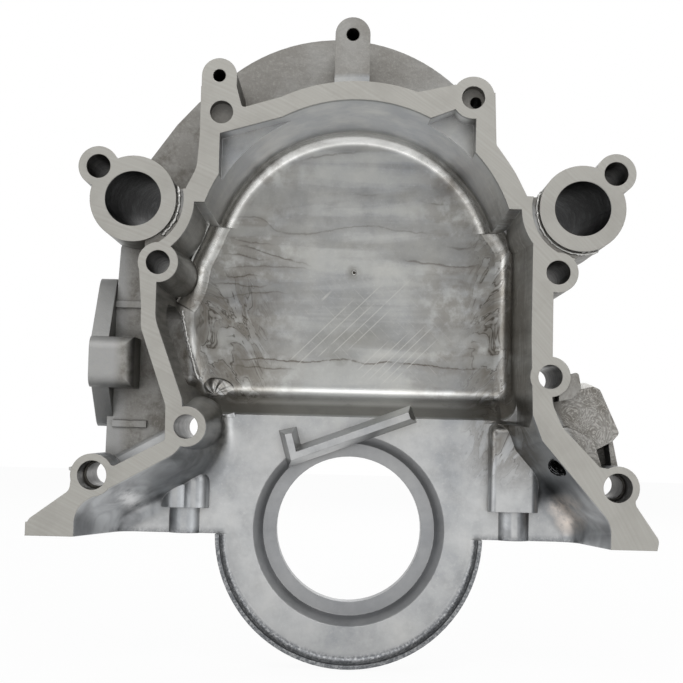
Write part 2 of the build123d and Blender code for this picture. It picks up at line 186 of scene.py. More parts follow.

# %% [markdown]
# ## Die-cast aluminium
# The cover is an aluminium alloy pressed into a steel die, so most of it has a satin grey skin with
# soft clouds. It could be painted by hand, but a shader that knows where it is on the part can
# place each finish where the real one has it: milled joint faces, bores darkened with painted
# shade, dried oil on the chamber floor. The shader measures in millimetres, so every pattern's
# scale is a real size.

# %% Places and leanings in the shader
aluminium = bpy.data.materials.new("die_cast_aluminium")
aluminium.use_nodes = True
tree = aluminium.node_tree
tree.nodes.clear()
millimetres = 1000.0
spot = node(tree, "ShaderNodeTexCoord")
place = node(tree, "ShaderNodeVectorMath", {"operation": "SCALE"}, Vector=spot.outputs["Object"],
             Scale=millimetres).outputs[0]
axes = node(tree, "ShaderNodeSeparateXYZ", Vector=place)
X, depth, Z = axes.outputs["X"], axes.outputs["Y"], axes.outputs["Z"]
width = node(tree, "ShaderNodeMath", {"operation": "ABSOLUTE"}, n0=X).outputs[0]
flat_place = node(tree, "ShaderNodeCombineXYZ", X=X, Z=Z).outputs[0]
lean = node(tree, "ShaderNodeSeparateXYZ", Vector=spot.outputs["Normal"])
sideways, to_pump, upward = lean.outputs["X"], lean.outputs["Y"], lean.outputs["Z"]
print("the shader measures in millimetres, and depth grows away from the block")

# %% [markdown]
# ### Masks and coats
# Every finish is a colour laid over the last one where a mask holds. A mask is a number from 0 to 1
# that says how much of it shows, and masks are joined to say where: below this height, and deeper
# than that.

# %% Masks
def both(*masks):
    """Mask where all of the masks hold."""
    held = masks[0]
    for mask in masks[1:]:
        held = node(tree, "ShaderNodeMath", {"operation": "MULTIPLY"}, n0=held, n1=mask).outputs[0]
    return held


def either(*masks):
    """Mask where at least one of the masks holds."""
    held = masks[0]
    for mask in masks[1:]:
        held = node(tree, "ShaderNodeMath", {"operation": "MAXIMUM"}, n0=held, n1=mask).outputs[0]
    return held


def above(value, limit, soft=0.5, most=1.0):
    """Mask that climbs from 0 to its most as the value passes the limit."""
    return node(tree, "ShaderNodeMapRange", Value=value, From_Min=limit - soft,
                From_Max=limit + soft, To_Max=most).outputs[0]


def below(value, limit, soft=0.5, most=1.0):
    """Mask that falls from its most to 0 as the value passes the limit."""
    return node(tree, "ShaderNodeMapRange", Value=value, From_Min=limit - soft,
                From_Max=limit + soft, To_Min=most, To_Max=0.0).outputs[0]


print("masks join by product or by maximum")


# %% Coats
def coat(under, over, mask):
    """Lays one colour over another where the mask holds."""
    return node(tree, "ShaderNodeMix", {"data_type": "RGBA"}, n0=mask, n6=under,
                n7=linear(over) if isinstance(over, str) else over).outputs[2]


print("a coat takes a hex value or another coat")

# %% [markdown]
# ### The skin of the casting
# Molten metal chills unevenly against the die, which leaves clouds 20 to 40 mm wide, some bluish
# and some pale, dark blotches of about 9 mm, and a fine speckle near 1 mm. Three noise textures at
# those scales give them.

# %% Skin
clouds = node(tree, "ShaderNodeTexNoise", Vector=place, Scale=1 / 32, Detail=5.0,
              Roughness=0.62).outputs["Fac"]
blotches = node(tree, "ShaderNodeTexNoise", Vector=place, Scale=1 / 9, Detail=6.0,
                Roughness=0.7).outputs["Fac"]
speckle = node(tree, "ShaderNodeTexNoise", Vector=place, Scale=1 / 1.3, Detail=3.0,
               Roughness=0.7).outputs["Fac"]
colour = coat(linear("#929496"), "#aeaeab", above(clouds, 0.5, 0.16))
colour = coat(colour, "#767675", below(blotches, 0.42, 0.12, 0.3))
# Below about 50 mm height the skin is made paler and bluer.
colour = coat(colour, "#b7b8bc", both(below(Z, 50.0, 6.0, 0.25), above(clouds, 0.44, 0.1)))
colour = coat(colour, "#b9b9b8", above(speckle, 0.66, 0.1, 0.35))
print("skin from three patterns, 32, 9 and 1.3 mm wide")

# %% [markdown]
# ### Outside of the casting
# Outside the joint face the skin is older and dirtier: brown-grey blotches with darker islands. The
# outside could be picked face by face. Measuring finds it too, and follows every change of shape:
# further than 84 mm from the camshaft axis, beyond the lines that join the screw bosses, or facing
# the pump.

# %% Where the outside is
camshaft_axis = (0.0, 0.0, 123.0)
from_cam = node(tree, "ShaderNodeVectorMath", {"operation": "DISTANCE"}, n0=flat_place,
                n1=camshaft_axis).outputs["Value"]
past_left = node(tree, "ShaderNodeMath", {"operation": "MULTIPLY_ADD"}, n0=X, n1=-0.549,
                 n2=Z).outputs[0]
past_right = node(tree, "ShaderNodeMath", {"operation": "MULTIPLY_ADD"}, n0=Z, n1=0.632,
                  n2=X).outputs[0]
beyond_face = either(both(above(from_cam, 84.0, 1.0), above(Z, 105.0, 2.0)),
                     both(above(past_left, 92.0, 1.0), below(X, -79.0, 1.0)),
                     both(above(past_right, 129.0, 1.0), above(X, 91.0, 1.0)))
outside = either(both(above(depth, 0.5, 0.2), beyond_face), above(to_pump, 0.3, 0.05))
print("outside found from three limits and one direction")

# %% Old skin
# Left of X -106 the outside skin is painted a paler grey, without its dark blotches.
paler_left_pad = below(X, -106.0, 2.0)
old_skin = coat(linear("#7e7c78"), "#8e8d8a", above(clouds, 0.5, 0.1))
old_skin = coat(old_skin, "#57524b", both(below(blotches, 0.45, 0.08, 0.6), below(Z, 200.0, 12.0),
                                          above(X, -106.0, 3.0)))
old_skin = coat(old_skin, "#959594", paler_left_pad)
old_skin = coat(old_skin, "#9b9a95", above(speckle, 0.6, 0.1, 0.4))
colour = coat(colour, old_skin, outside)
print("outside skin laid over", len(tree.nodes), "nodes so far")

# %% [markdown]
# ### Walls of the chamber
# The die is drawn out along the walls, which drags them into fine lines. The side walls are also
# painted dark as painted shade, the left one darker, and the roof smooth, pale and bluish as
# painted light from below. Noise squeezed along the draw gives the lines.

# %% Side walls, with painted shade
in_walls = both(above(depth, 2.0, 1.0), below(depth, 60.0, 2.0))
outward = node(tree, "ShaderNodeMath", {"operation": "MULTIPLY"}, n0=X, n1=sideways).outputs[0]
steep = node(tree, "ShaderNodeMath", {"operation": "ABSOLUTE"}, n0=sideways).outputs[0]
shaded_side_wall = both(in_walls, below(outward, -30.0, 6.0), below(width, 90.0, 0.5),
                 above(steep, 0.6, 0.25), above(Z, 30.0, 8.0))
squeezed = node(tree, "ShaderNodeMapping", Vector=place, Scale=(0.45, 0.03, 0.45)).outputs[0]
drag = node(tree, "ShaderNodeTexNoise", Scale=1.0, Detail=3.0, Vector=squeezed).outputs["Fac"]
# The drag lines follow the die; the dark greys are painted shade, darkest on the left wall.
left_drag_and_shade = coat(linear("#4b4a46"), "#7e7c77", above(drag, 0.5, 0.2))
right_drag_and_shade = coat(linear("#6e6c66"), "#a09e98", above(drag, 0.5, 0.2))
colour = coat(colour, left_drag_and_shade, both(shaded_side_wall, below(X, 0.0, 1.0, 0.9)))
colour = coat(colour, right_drag_and_shade, both(shaded_side_wall, above(X, 0.0, 1.0, 0.75)))
print("side walls dragged along the draw of the die, the left one darker")

# %% Painted light on the roof, painted shade on the step
roof_painted_light = both(in_walls, below(upward, -0.45, 0.25), above(Z, 140.0, 10.0), below(from_cam, 82.0, 1.0))
step_painted_shade = both(above(depth, 43.5, 1.0), below(depth, 59.0, 3.0), above(upward, 0.6, 0.2),
                 above(Z, 45.0, 5.0))
# The downward-facing roof is painted pale as painted light from below, and the upward-facing step
# is painted dark as painted shade.
colour = coat(colour, coat(linear("#dcdee2"), "#f6f6f6", above(clouds, 0.5, 0.1)), roof_painted_light)
colour = coat(colour, "#6a6862", both(step_painted_shade, 0.8))
print("pale roof and dark step")

# %% [markdown]
# ### Fillets of the chamber
# The rounded feet of the walls are given a glossier finish, and their colour is painted paler as a
# painted highlight, so that they shine as thin bright lines. They lie between the wall and the
# floor in depth, and lean between the two.

# %% Fillets, with painted highlights
upper_fillets = above(Z, 108.0, 5.0)
lower_fillets = both(above(X, -68.0, 3.0), below(X, 58.0, 8.0, 0.25))
fillets_gloss_and_highlight = both(above(depth, 52.5, 1.5), below(depth, 61.8, 0.2), above(to_pump, -0.96, 0.03),
               below(to_pump, -0.2, 0.15), below(from_cam, 92.0, 2.0),
               either(upper_fillets, lower_fillets))
round_part = either(below(width, 62.0, 4.0), 0.35)
# The pale colour on the fillets is a painted highlight, strongest round the camshaft axis.
colour = coat(colour, "#e2e2e0", both(fillets_gloss_and_highlight, above(blotches, 0.3, 0.15), round_part))
print("fillets brightened, most of all round the camshaft axis")

# %% [markdown]
# ### Scoops of the sump end
# The two scoops at the lower corners are painted dark, cool and cloudy, partly as painted shade
# under the flange, with one or two painted highlights each. They are found by width, height and
# depth, leaving out their flat floors.

# %% Scoops
ragged_wide = node(tree, "ShaderNodeTexNoise", Vector=place, Scale=1 / 18, Detail=3.0,
                   Roughness=0.5, Distortion=1.0).outputs["Fac"]
flatness = node(tree, "ShaderNodeMath", {"operation": "ABSOLUTE"}, n0=to_pump).outputs[0]
scoop = both(above(width, 66.0, 6.0), below(Z, 47.0, 4.0), above(depth, 1.0, 0.5),
             below(depth, 41.6, 0.4), below(flatness, 0.985, 0.01))
# The dark side of this cool cloud is painted shade under the flange.
cool_cloud_and_shade = coat(linear("#6f7174"), "#a3a6a9", above(ragged_wide, 0.5, 0.12))
colour = coat(colour, cool_cloud_and_shade, both(scoop, 0.7))
# Each of these spots is a painted highlight on the curved wall.
painted_highlight_spots = ((98.5, 14.0, "#fff1e4"), (102.5, 6.5, "#fff1e4"), (-99.5, 12.4, "#ffffff"))
for x, z, tint in painted_highlight_spots:
    near = node(tree, "ShaderNodeVectorMath", {"operation": "DISTANCE"}, n0=flat_place,
                n1=(x, 0.0, z)).outputs["Value"]
    colour = coat(colour, tint, both(scoop, below(near, 3.6, 3.6, 0.7), above(blotches, 0.44, 0.1)))
print("scoops with", len(painted_highlight_spots), "rubbed spots")

# %% [markdown]
# ### Cone and rim of the crankshaft opening
# The cone that leads to the seal is painted darker than the nose round it, and the nose's outer rim
# is pitted. Distance from the crankshaft axis finds both.

# %% Cone and rim
from_crank = node(tree, "ShaderNodeVectorMath", {"operation": "DISTANCE"}, n0=flat_place,
                  n1=(0.0, 0.0, 0.0)).outputs["Value"]
colour = coat(colour, "#78797b", both(below(from_crank, 46.5, 1.0, 0.6), above(depth, 42.5, 0.5)))
rim = both(above(from_crank, 58.6, 0.8), below(Z, -2.0, 2.0), above(depth, 30.0, 1.0),
           below(to_pump, 0.3, 0.1))
pitted = coat(linear("#626467"), "#979899", above(speckle, 0.55, 0.1))
colour = coat(colour, pitted, both(rim, above(blotches, 0.3, 0.15)))
print("cone and rim of the crankshaft opening")

# %% [markdown]
# ### Dried oil on the chamber floor
# Oil has run sideways across the floor and dried in brown lines. Each line could be a thin mesh,
# but a float curve that gives its height for every X, roughened by a little noise, stays one thin
# wandering line on the metal however near the camera comes.

# %% One streak
streak_half_width = 80.0
streak_top = 200.0
wander = 3.4
ragged = node(tree, "ShaderNodeTexNoise", Vector=place, Scale=1 / 7, Detail=4.0,
              Roughness=0.6).outputs["Fac"]
along_x = node(tree, "ShaderNodeMapRange", Value=X, From_Min=-streak_half_width,
               From_Max=streak_half_width).outputs[0]


def streak(thickness, strength, line):
    """Mask of one dried line through the given X and Z points, with a faint halo."""
    curve = node(tree, "ShaderNodeFloatCurve", Value=along_x)
    points = curve.mapping.curves[0].points
    for index, (x, z) in enumerate(line):
        at = ((x + streak_half_width) / (2 * streak_half_width), z / streak_top)
        if index < 2:
            points[index].location = at
        else:
            points.new(*at)
    curve.mapping.update()
    smooth_height = node(tree, "ShaderNodeMath", {"operation": "MULTIPLY"},
                         n0=curve.outputs[0], n1=streak_top).outputs[0]
    height = node(tree, "ShaderNodeMath", {"operation": "MULTIPLY_ADD"}, n0=ragged, n1=wander,
                  n2=smooth_height).outputs[0]
    off = node(tree, "ShaderNodeMath", {"operation": "SUBTRACT"}, n0=Z, n1=height).outputs[0]
    centred = node(tree, "ShaderNodeMath", {"operation": "ADD"}, n0=off,
                   n1=wander / 2).outputs[0]
    far = node(tree, "ShaderNodeMath", {"operation": "ABSOLUTE"}, n0=centred).outputs[0]
    line_and_halo = either(below(far, thickness, thickness * 0.8, strength),
                           below(far, 1.6, 1.6, strength * 0.3))
    first, last = line[0][0], line[-1][0]
    return both(line_and_halo, above(X, first + 5, 5.0), below(X, last - 5, 5.0))


print("streaks can run from X", -streak_half_width, "to", streak_half_width)

# %% All streaks
streaks = (
    (0.4, 0.35, [(-62, 149.5), (-45, 148.5), (-38, 143.4), (-24, 142.6), (-11, 144.7), (5, 147),
                 (25, 144.7), (40, 144)]),
    (0.45, 0.6, [(-60, 136), (-50, 134.7), (-38, 131), (-20, 126.4)]),
    (0.4, 0.4, [(-66, 124.6), (-43, 125.8), (-20, 125)]),
    (0.5, 0.5, [(18, 130.9), (38, 129.5), (50, 128), (66, 130)]),
    (0.4, 0.7, [(-60, 79.6), (-46, 80.8), (-25, 79.7), (-3, 81.1), (7, 79.7), (20, 80.8),
                (33, 79.5), (48, 78.2), (65, 78.6)]),
    (0.4, 0.6, [(-64, 78), (-42, 76.1), (-26, 76.4)]),
    (0.4, 0.45, [(-64, 141.0), (-54, 137.6), (-46, 137.0), (-38, 135.6)]),
    (0.4, 0.6, [(-66, 131.4), (-57, 131.6), (-48, 129.2), (-40, 129.6)]),
    (0.4, 0.6, [(-68, 121.2), (-58, 120.0), (-50, 121.6), (-42, 119.8)]),
    (0.4, 0.55, [(-72, 116.4), (-60, 117.2), (-50, 115.8), (-38, 118.2)]),
    (0.4, 0.5, [(-74, 111.6), (-64, 110.2), (-52, 112.4), (-30, 113.0)]),
    (0.45, 0.5, [(42, 138.0), (52, 137.0), (66, 139.4)]),
    (0.4, 0.4, [(30, 160.6), (40, 158.6), (50, 160.8)]),
    (0.5, 0.5, [(-3, 163.6), (5, 162.4), (13, 163)]),
    (0.5, 0.35, [(-30, 178), (-12, 182), (6, 184)]))
runs = either(*[streak(*row) for row in streaks])
print(len(streaks), "streaks, nodes:", len(tree.nodes))

# %% [markdown]
# ### Bands and worn places
# Between the streaks the floor is banded dark and pale, worn brown towards both sides, and one
# corner at the upper right is dark with burnt oil. Noise stretched along X gives the bands; they go
# on first and the streaks last, because the streaks dried on top.

# %% Bands, worn sides and streaks
in_chamber = both(above(depth, 56.0, 3.0), below(depth, 62.6, 0.2), below(from_cam, 82.0, 2.0))
stretched = node(tree, "ShaderNodeMapping", Vector=place, Scale=(0.012, 0.05, 0.085)).outputs[0]
bands = node(tree, "ShaderNodeTexNoise", Scale=1.0, Detail=4.0, Distortion=0.6,
             Vector=stretched).outputs["Fac"]
worn = both(either(below(X, -30.0, 14.0), above(X, 34.0, 10.0)), above(ragged, 0.46, 0.1, 0.5),
            above(bands, 0.45, 0.05))
from_corner = node(tree, "ShaderNodeVectorMath", {"operation": "DISTANCE"}, n0=place,
                   n1=(47.0, 62.0, 168.0)).outputs["Value"]
colour = coat(colour, "#74726b", both(in_chamber, below(bands, 0.47, 0.07, 0.35)))
colour = coat(colour, "#b7b7b2", both(in_chamber, above(bands, 0.56, 0.06, 0.35)))
colour = coat(colour, "#686259", both(in_chamber, worn))
colour = coat(colour, "#4d453b", both(in_chamber, below(from_corner, 6.0, 5.0, 0.7),
                                      above(blotches, 0.4, 0.1)))
colour = coat(colour, "#483e33", both(in_chamber, runs, above(blotches, 0.42, 0.08)))
print("bands, worn sides and streaks laid over the floor")

# %% [markdown]
# ### Tide lines
# Where oil stood beside the walls it dried from the edge inwards and left contour lines like those
# on a map, which slant down and away from the walls. Cutting a noise texture into levels and
# keeping the borders gives such lines. The noise is turned by 30 degrees and stretched, which
# slants them, and X is taken as a width, so that both sides mirror each other.

# %% Pools
import math

mirrored = node(tree, "ShaderNodeCombineXYZ", X=width, Y=depth, Z=Z).outputs[0]
fanned = node(tree, "ShaderNodeMapping", {"vector_type": "TEXTURE"}, Vector=mirrored,
              Rotation=(0.0, math.radians(30.0), 0.0), Scale=(1.0, 1.0, 2.4)).outputs[0]
pool = node(tree, "ShaderNodeTexNoise", Vector=fanned, Scale=1 / 13, Detail=4.0, Roughness=0.55,
            Distortion=0.8).outputs["Fac"]
left_pool = both(below(X, -44.0, 9.0), above(X, -84.0, 3.0), below(Z, 118.0, 10.0),
                 above(Z, 58.0, 3.0), above(depth, 50.0, 5.0))
right_pool = both(above(X, 58.0, 7.0), below(X, 88.0, 3.0), below(Z, 150.0, 22.0),
                  above(Z, 30.0, 12.0), above(depth, 12.0, 6.0))
pooled = both(either(left_pool, right_pool), above(pool, 0.42, 0.08))
colour = coat(colour, "#656058", both(pooled, below(pool, 0.56, 0.06, 0.75)))
print("brown pools left and right")

# %% Tide lines in the pools
levels_in_pool = 8.0
stacked = node(tree, "ShaderNodeMath", {"operation": "MULTIPLY"}, n0=pool,
               n1=levels_in_pool).outputs[0]
level = node(tree, "ShaderNodeMath", {"operation": "FRACT"}, n0=stacked).outputs[0]
from_middle = node(tree, "ShaderNodeMath", {"operation": "SUBTRACT"}, n0=level, n1=0.5).outputs[0]
border = node(tree, "ShaderNodeMath", {"operation": "ABSOLUTE"}, n0=from_middle).outputs[0]
colour = coat(colour, "#342d25", both(pooled, below(border, 0.06, 0.06, 0.75),
                                      above(ragged, 0.42, 0.08)))
print("tide lines at", levels_in_pool, "levels of the pool noise")

# %% [markdown]
# ### Flow lines on the dipstick boss
# Metal reached the dipstick boss late and half frozen, and left pale and dark lines that meander
# about 1.5 mm apart. A noise folded back and forth gives them.

# %% Flow lines
stick_zone = both(above(X, 95.0, 2.0), below(Z, 88.0, 4.0), above(Z, 34.0, 4.0),
                  above(depth, 3.0, 1.0))
flow = node(tree, "ShaderNodeTexNoise", Vector=place, Scale=1 / 11, Detail=3.0, Roughness=0.6,
            Distortion=1.6).outputs["Fac"]
folded = node(tree, "ShaderNodeMath", {"operation": "PINGPONG"}, n0=flow, n1=0.05).outputs[0]
colour = coat(colour, "#afaca7", both(stick_zone, above(folded, 0.038, 0.008, 0.6)))
colour = coat(colour, "#66615a", both(stick_zone, below(folded, 0.010, 0.008, 0.6),
                                      above(blotches, 0.42, 0.06)))
print("flow lines on the dipstick boss")

# %% [markdown]
# ### Scratches
# A tool has scored the floor in straight lines at 45 degrees, a strong set that climbs to the
# right and a faint one across it. They are straight in turned coordinates: one runs along the
# scratches, the other across them.

# %% Directions of the scratches
sine_of_45 = 0.7071
total = node(tree, "ShaderNodeMath", {"operation": "ADD"}, n0=X, n1=Z).outputs[0]
rest = node(tree, "ShaderNodeMath", {"operation": "SUBTRACT"}, n0=Z, n1=X).outputs[0]
climb = node(tree, "ShaderNodeMath", {"operation": "MULTIPLY"}, n0=total,
             n1=sine_of_45).outputs[0]
across = node(tree, "ShaderNodeMath", {"operation": "MULTIPLY"}, n0=rest,
              n1=sine_of_45).outputs[0]
print("scratches run along X + Z")


# %% Strong scratches
def scratch(at, start, end, half_width=0.16):
    """Mask of one straight scratch at a distance across the set."""
    off = node(tree, "ShaderNodeMath", {"operation": "SUBTRACT"}, n0=across, n1=at).outputs[0]
    far = node(tree, "ShaderNodeMath", {"operation": "ABSOLUTE"}, n0=off).outputs[0]
    return both(below(far, half_width, 0.14), above(climb, start, 1.5), below(climb, end, 4.0))


scratches = (
    (78.3, 36, 76), (74.2, 37, 92), (70.1, 47, 82), (66.3, 53, 103), (62.4, 60, 86),
    (52.0, 56, 74), (48.1, 55, 84), (45.0, 57, 92), (42.0, 61, 95), (39.1, 60, 84),
    (36.1, 64, 92), (88.9, 67.5, 71.0, 0.5))
strong = either(*[scratch(*row) for row in scratches])
print(len(scratches), "strong scratches")

# %% Faint scratches and the rubbed patch
combed = node(tree, "ShaderNodeMath", {"operation": "PINGPONG"}, n0=climb, n1=2.05).outputs[0]
faint = both(below(combed, 0.18, 0.14), above(blotches, 0.5, 0.05), above(climb, 40.0, 4.0),
             below(climb, 104.0, 4.0), above(across, 22.0, 4.0), below(across, 96.0, 4.0))
rubbed = both(in_chamber, above(blotches, 0.45, 0.1, 0.35), above(climb, 48.0, 4.0),
              below(climb, 84.0, 5.0), above(across, 56.0, 4.0), below(across, 82.0, 5.0))
scored = either(both(strong, above(ragged, 0.36, 0.06, 0.75)),
                both(faint, above(ragged, 0.5, 0.1, 0.28)))
colour = coat(colour, "#73736e", rubbed)
colour = coat(colour, "#b9b8b4", both(in_chamber, scored))
print("a faint set 4.1 mm apart across the strong one")

# %% [markdown]
# ### Colour of the punch mark
# A centre punch has hit the middle of the floor and left a small dimple in a greyed patch. The
# dimple has no shape of its own, so its dark point is painted shade. Its raised ring is a piece of
# its own, further down; distance from the mark gives the colours here.

# %% Punch mark
punch_x, punch_z = -0.3, 123.9
chamber_floor = 62.0
from_punch = node(tree, "ShaderNodeVectorMath", {"operation": "DISTANCE"}, n0=place,
                  n1=(punch_x, chamber_floor, punch_z)).outputs["Value"]
colour = coat(colour, "#686660", both(below(from_punch, 3.0, 1.6, 0.6),
                                      below(blotches, 0.55, 0.1)))
# The dark point is painted shade in the punch's dimple.
colour = coat(colour, "#302c26", below(from_punch, 1.1, 0.5, 0.9))
print("punch mark at X", punch_x, "Z", punch_z)

# %% [markdown]
# ### Dirt and painted shade in the corners
# Grime stays wherever a cloth doesn't reach, and this coat also paints the shade that falls in
# those closed-in places. Ambient occlusion measures how closed in a place is, and a noise breaks
# its edge, so the darkening fades out as real grime does.

# %% Grime and painted shade
grime_and_shade_reach = 0.009
closed_in = node(tree, "ShaderNodeAmbientOcclusion", {"samples": 6, "only_local": True},
                 Distance=grime_and_shade_reach).outputs["AO"]
grime_and_shade = both(below(closed_in, 0.62, 0.22), above(blotches, 0.44, 0.12))
# This darkening is partly grime and partly painted shade in the closed-in places.
colour = coat(colour, "#433f39", both(grime_and_shade, above(depth, 1.0, 0.5, 0.5)))
print("grime from occlusion within", grime_and_shade_reach * 1000, "mm")

# %% [markdown]
# ### Milled faces
# The joint face and the pump face are milled flat after casting. A cutter as wide as the part
# leaves fine arcs and a paler, warmer, matter metal. Real marks are 0.3 mm apart; here they are
# drawn about 1 mm apart, as coarse as it takes for them to show.

# %% Milled faces
pump_face = 71.0
milled = either(both(below(depth, 0.25, 0.15), below(to_pump, -0.95, 0.03)),
                both(above(depth, pump_face - 0.3, 0.15), above(to_pump, 0.95, 0.03)))
cutter_centre = (-210.0, 0.0, -170.0)
sweep = node(tree, "ShaderNodeVectorMath", {"operation": "DISTANCE"}, n0=place,
             n1=cutter_centre).outputs["Value"]
marks = node(tree, "ShaderNodeTexNoise", {"noise_dimensions": "1D"}, W=sweep, Scale=0.9,
             Detail=2.0).outputs["Fac"]
metal = coat(linear("#9b9994"), "#a1a09b", above(marks, 0.5, 0.25))
metal = coat(metal, "#8b8984", below(clouds, 0.44, 0.08, 0.4))
colour = coat(colour, metal, milled)
print("milled faces at depth 0 and", pump_face)

# %% [markdown]
# ### Bores
# Inside the screw holes, the coolant ports and the dipstick hole the metal is painted dark, partly
# for dried coolant and partly as painted shade. Each hole is a circle round its own axis; the ports
# lean, so their centre moves with depth, and the dipstick hole leans so far that its distance is
# measured from a slanted axis.

# %% Screw holes
in_hole = both(above(depth, 0.6, 0.3), below(depth, pump_face - 0.6, 0.3))
screw_holes = ((-88.3, 119.9, 5.6), (90.8, 119.5, 5.6), (88.0, 72.8, 5.6), (-73.6, 46.8, 5.6),
               (-114.6, 24.3, 6.7), (118.7, 24.2, 6.7), (-116.3, 162.6, 5.6),
               (116.1, 164.5, 5.6), (-63.2, 205.0, 3.1), (-3.5, 225.4, 3.1))
holes = []
for x, z, radius in screw_holes:
    far = node(tree, "ShaderNodeVectorMath", {"operation": "DISTANCE"}, n0=flat_place,
               n1=(x, 0.0, z)).outputs["Value"]
    holes.append(below(far, radius, 0.1))
hole_stain_and_shade = coat(linear("#3d3b39"), "#63615c", above(blotches, 0.5, 0.1))
print(len(holes), "screw holes")

# %% Coolant ports
port_axes = (((-100.4, 148.3), (-85.5, 148.5)), ((101.4, 148.5), (86.5, 146.0)))
ports = []
for (x, z), (front_x, front_z) in port_axes:
    moved_x = node(tree, "ShaderNodeMath", {"operation": "MULTIPLY_ADD"}, n0=depth,
                   n1=(x - front_x) / pump_face, n2=X).outputs[0]
    moved_z = node(tree, "ShaderNodeMath", {"operation": "MULTIPLY_ADD"}, n0=depth,
                   n1=(z - front_z) / pump_face, n2=Z).outputs[0]
    upright = node(tree, "ShaderNodeCombineXYZ", X=moved_x, Z=moved_z).outputs[0]
    far = node(tree, "ShaderNodeVectorMath", {"operation": "DISTANCE"}, n0=upright,
               n1=(x, 0.0, z)).outputs["Value"]
    ports.append(below(far, 13.0, 0.2))
port_stain_and_shade = coat(linear("#0c0c0d"), "#313233", above(blotches, 0.56, 0.06))
print(len(ports), "coolant ports")

# %% Dipstick hole, and all bores laid over
stick_mouth = Vector((89.6, 1.2, 28.8))
stick_axis = Vector((0.45, 0.72, 0.53)).normalized()
from_mouth = node(tree, "ShaderNodeVectorMath", {"operation": "SUBTRACT"}, n0=place,
                  n1=stick_mouth).outputs[0]
inside = node(tree, "ShaderNodeVectorMath", {"operation": "DOT_PRODUCT"}, n0=from_mouth,
              n1=stick_axis).outputs["Value"]
nearest = node(tree, "ShaderNodeVectorMath", {"operation": "SCALE"}, Vector=stick_axis,
               Scale=inside).outputs[0]
off_axis = node(tree, "ShaderNodeVectorMath", {"operation": "DISTANCE"}, n0=from_mouth,
                n1=nearest).outputs["Value"]
# The dipstick hole is painted dark as painted shade in the deep hole.
stick_hole_stain_and_shade = coat(linear("#141516"), "#737475", above(speckle, 0.62, 0.06))
colour = coat(colour, stick_hole_stain_and_shade, both(below(off_axis, 4.75, 0.1), above(inside, 5.0, 1.0),
                                       below(inside, 40.0, 1.0)))
# The bores are darkened by dried coolant and by painted shade.
colour = coat(colour, hole_stain_and_shade, both(either(*holes), in_hole))
colour = coat(colour, port_stain_and_shade, both(either(*ports), in_hole))
print("bores darkened, nodes:", len(tree.nodes))

# %% [markdown]
# ### Put the finish together
# Aluminium is a metal, so its colour is its reflection: Metallic is 1 and the colour is the base
# colour. The skin is satin, the milled faces and the outside are matter, the fillets are polished,
# and dried oil dulls the shine. A Bevel node rounds every edge by half a millimetre for the light,
# as the tumbled edges of the casting are, and two fine bumps carry speckle and milling marks.

# %% Roughness
roughness = node(tree, "ShaderNodeMapRange", Value=blotches, From_Min=0.3, From_Max=0.7,
                 To_Min=0.40, To_Max=0.30).outputs[0]
for mask, finish in ((either(milled, outside), 0.54), (fillets_gloss_and_highlight, 0.27),
                     (both(in_chamber, runs), 0.65)):
    roughness = node(tree, "ShaderNodeMix", {"data_type": "FLOAT"}, n0=mask, n2=roughness,
                     n3=finish).outputs[0]
print("roughness from 0.27 on fillets to 0.65 on dried oil")

# %% Relief and shader
rounded = node(tree, "ShaderNodeBevel", {"samples": 4}, Radius=0.0005)
relief = node(tree, "ShaderNodeMix", {"data_type": "FLOAT"}, n0=milled, n2=speckle,
              n3=marks).outputs[0]
fine = node(tree, "ShaderNodeBump", Height=relief, Distance=0.00005, Strength=0.25,
            Normal=rounded.outputs[0])
coarse = node(tree, "ShaderNodeBump", Height=both(blotches, outside), Distance=0.0008,
              Strength=0.5, Normal=fine.outputs[0])
skin = node(tree, "ShaderNodeBsdfPrincipled", Base_Color=colour, Metallic=1.0,
            Roughness=roughness, Normal=coarse.outputs[0])
node(tree, "ShaderNodeOutputMaterial", Surface=skin.outputs[0])
for index in range(len(cover.material_slots)):
    cover.material_slots[index].material = aluminium
print("slots", [s.material.name for s in cover.material_slots])

# %% [markdown]
# ## Torn aluminium
# Fresh broken edges of the same alloy have no skin: they glitter, pale and rough in bits of about
# 1 mm, because each torn crystal mirrors another way. A noise mixes a dark and a pale grey, whose
# pale bits are painted glints, and a bump tilts the bits.

# %% Torn aluminium
torn = bpy.data.materials.new("torn_aluminium")
torn.use_nodes = True
torn_tree = torn.node_tree
torn_tree.nodes.clear()
spot = node(torn_tree, "ShaderNodeTexCoord")
bits = node(torn_tree, "ShaderNodeTexNoise", Vector=spot.outputs["Object"], Scale=900.0,
            Detail=3.0)
# The pale bits of this mix are painted glints.
glint_tone = node(torn_tree, "ShaderNodeMix", {"data_type": "RGBA"}, n0=bits.outputs["Fac"],
            n6=linear("#777572"), n7=linear("#ccccc9"))
dents = node(torn_tree, "ShaderNodeBump", Height=bits.outputs["Fac"], Distance=0.0003,
             Strength=0.6)
glitter = node(torn_tree, "ShaderNodeBsdfPrincipled", Base_Color=glint_tone.outputs[2], Metallic=1.0,
               Roughness=0.32, Normal=dents.outputs[0])
node(torn_tree, "ShaderNodeOutputMaterial", Surface=glitter.outputs[0])
print("material", torn.name)

# %% [markdown]
# ## From points to a piece of the cover
# The small pieces below are built point by point and face by face. One function ends each of them:
# it turns the faces outwards, shades the small ones smooth, and fixes the piece to the cover.

# %% Piece helper
import bmesh


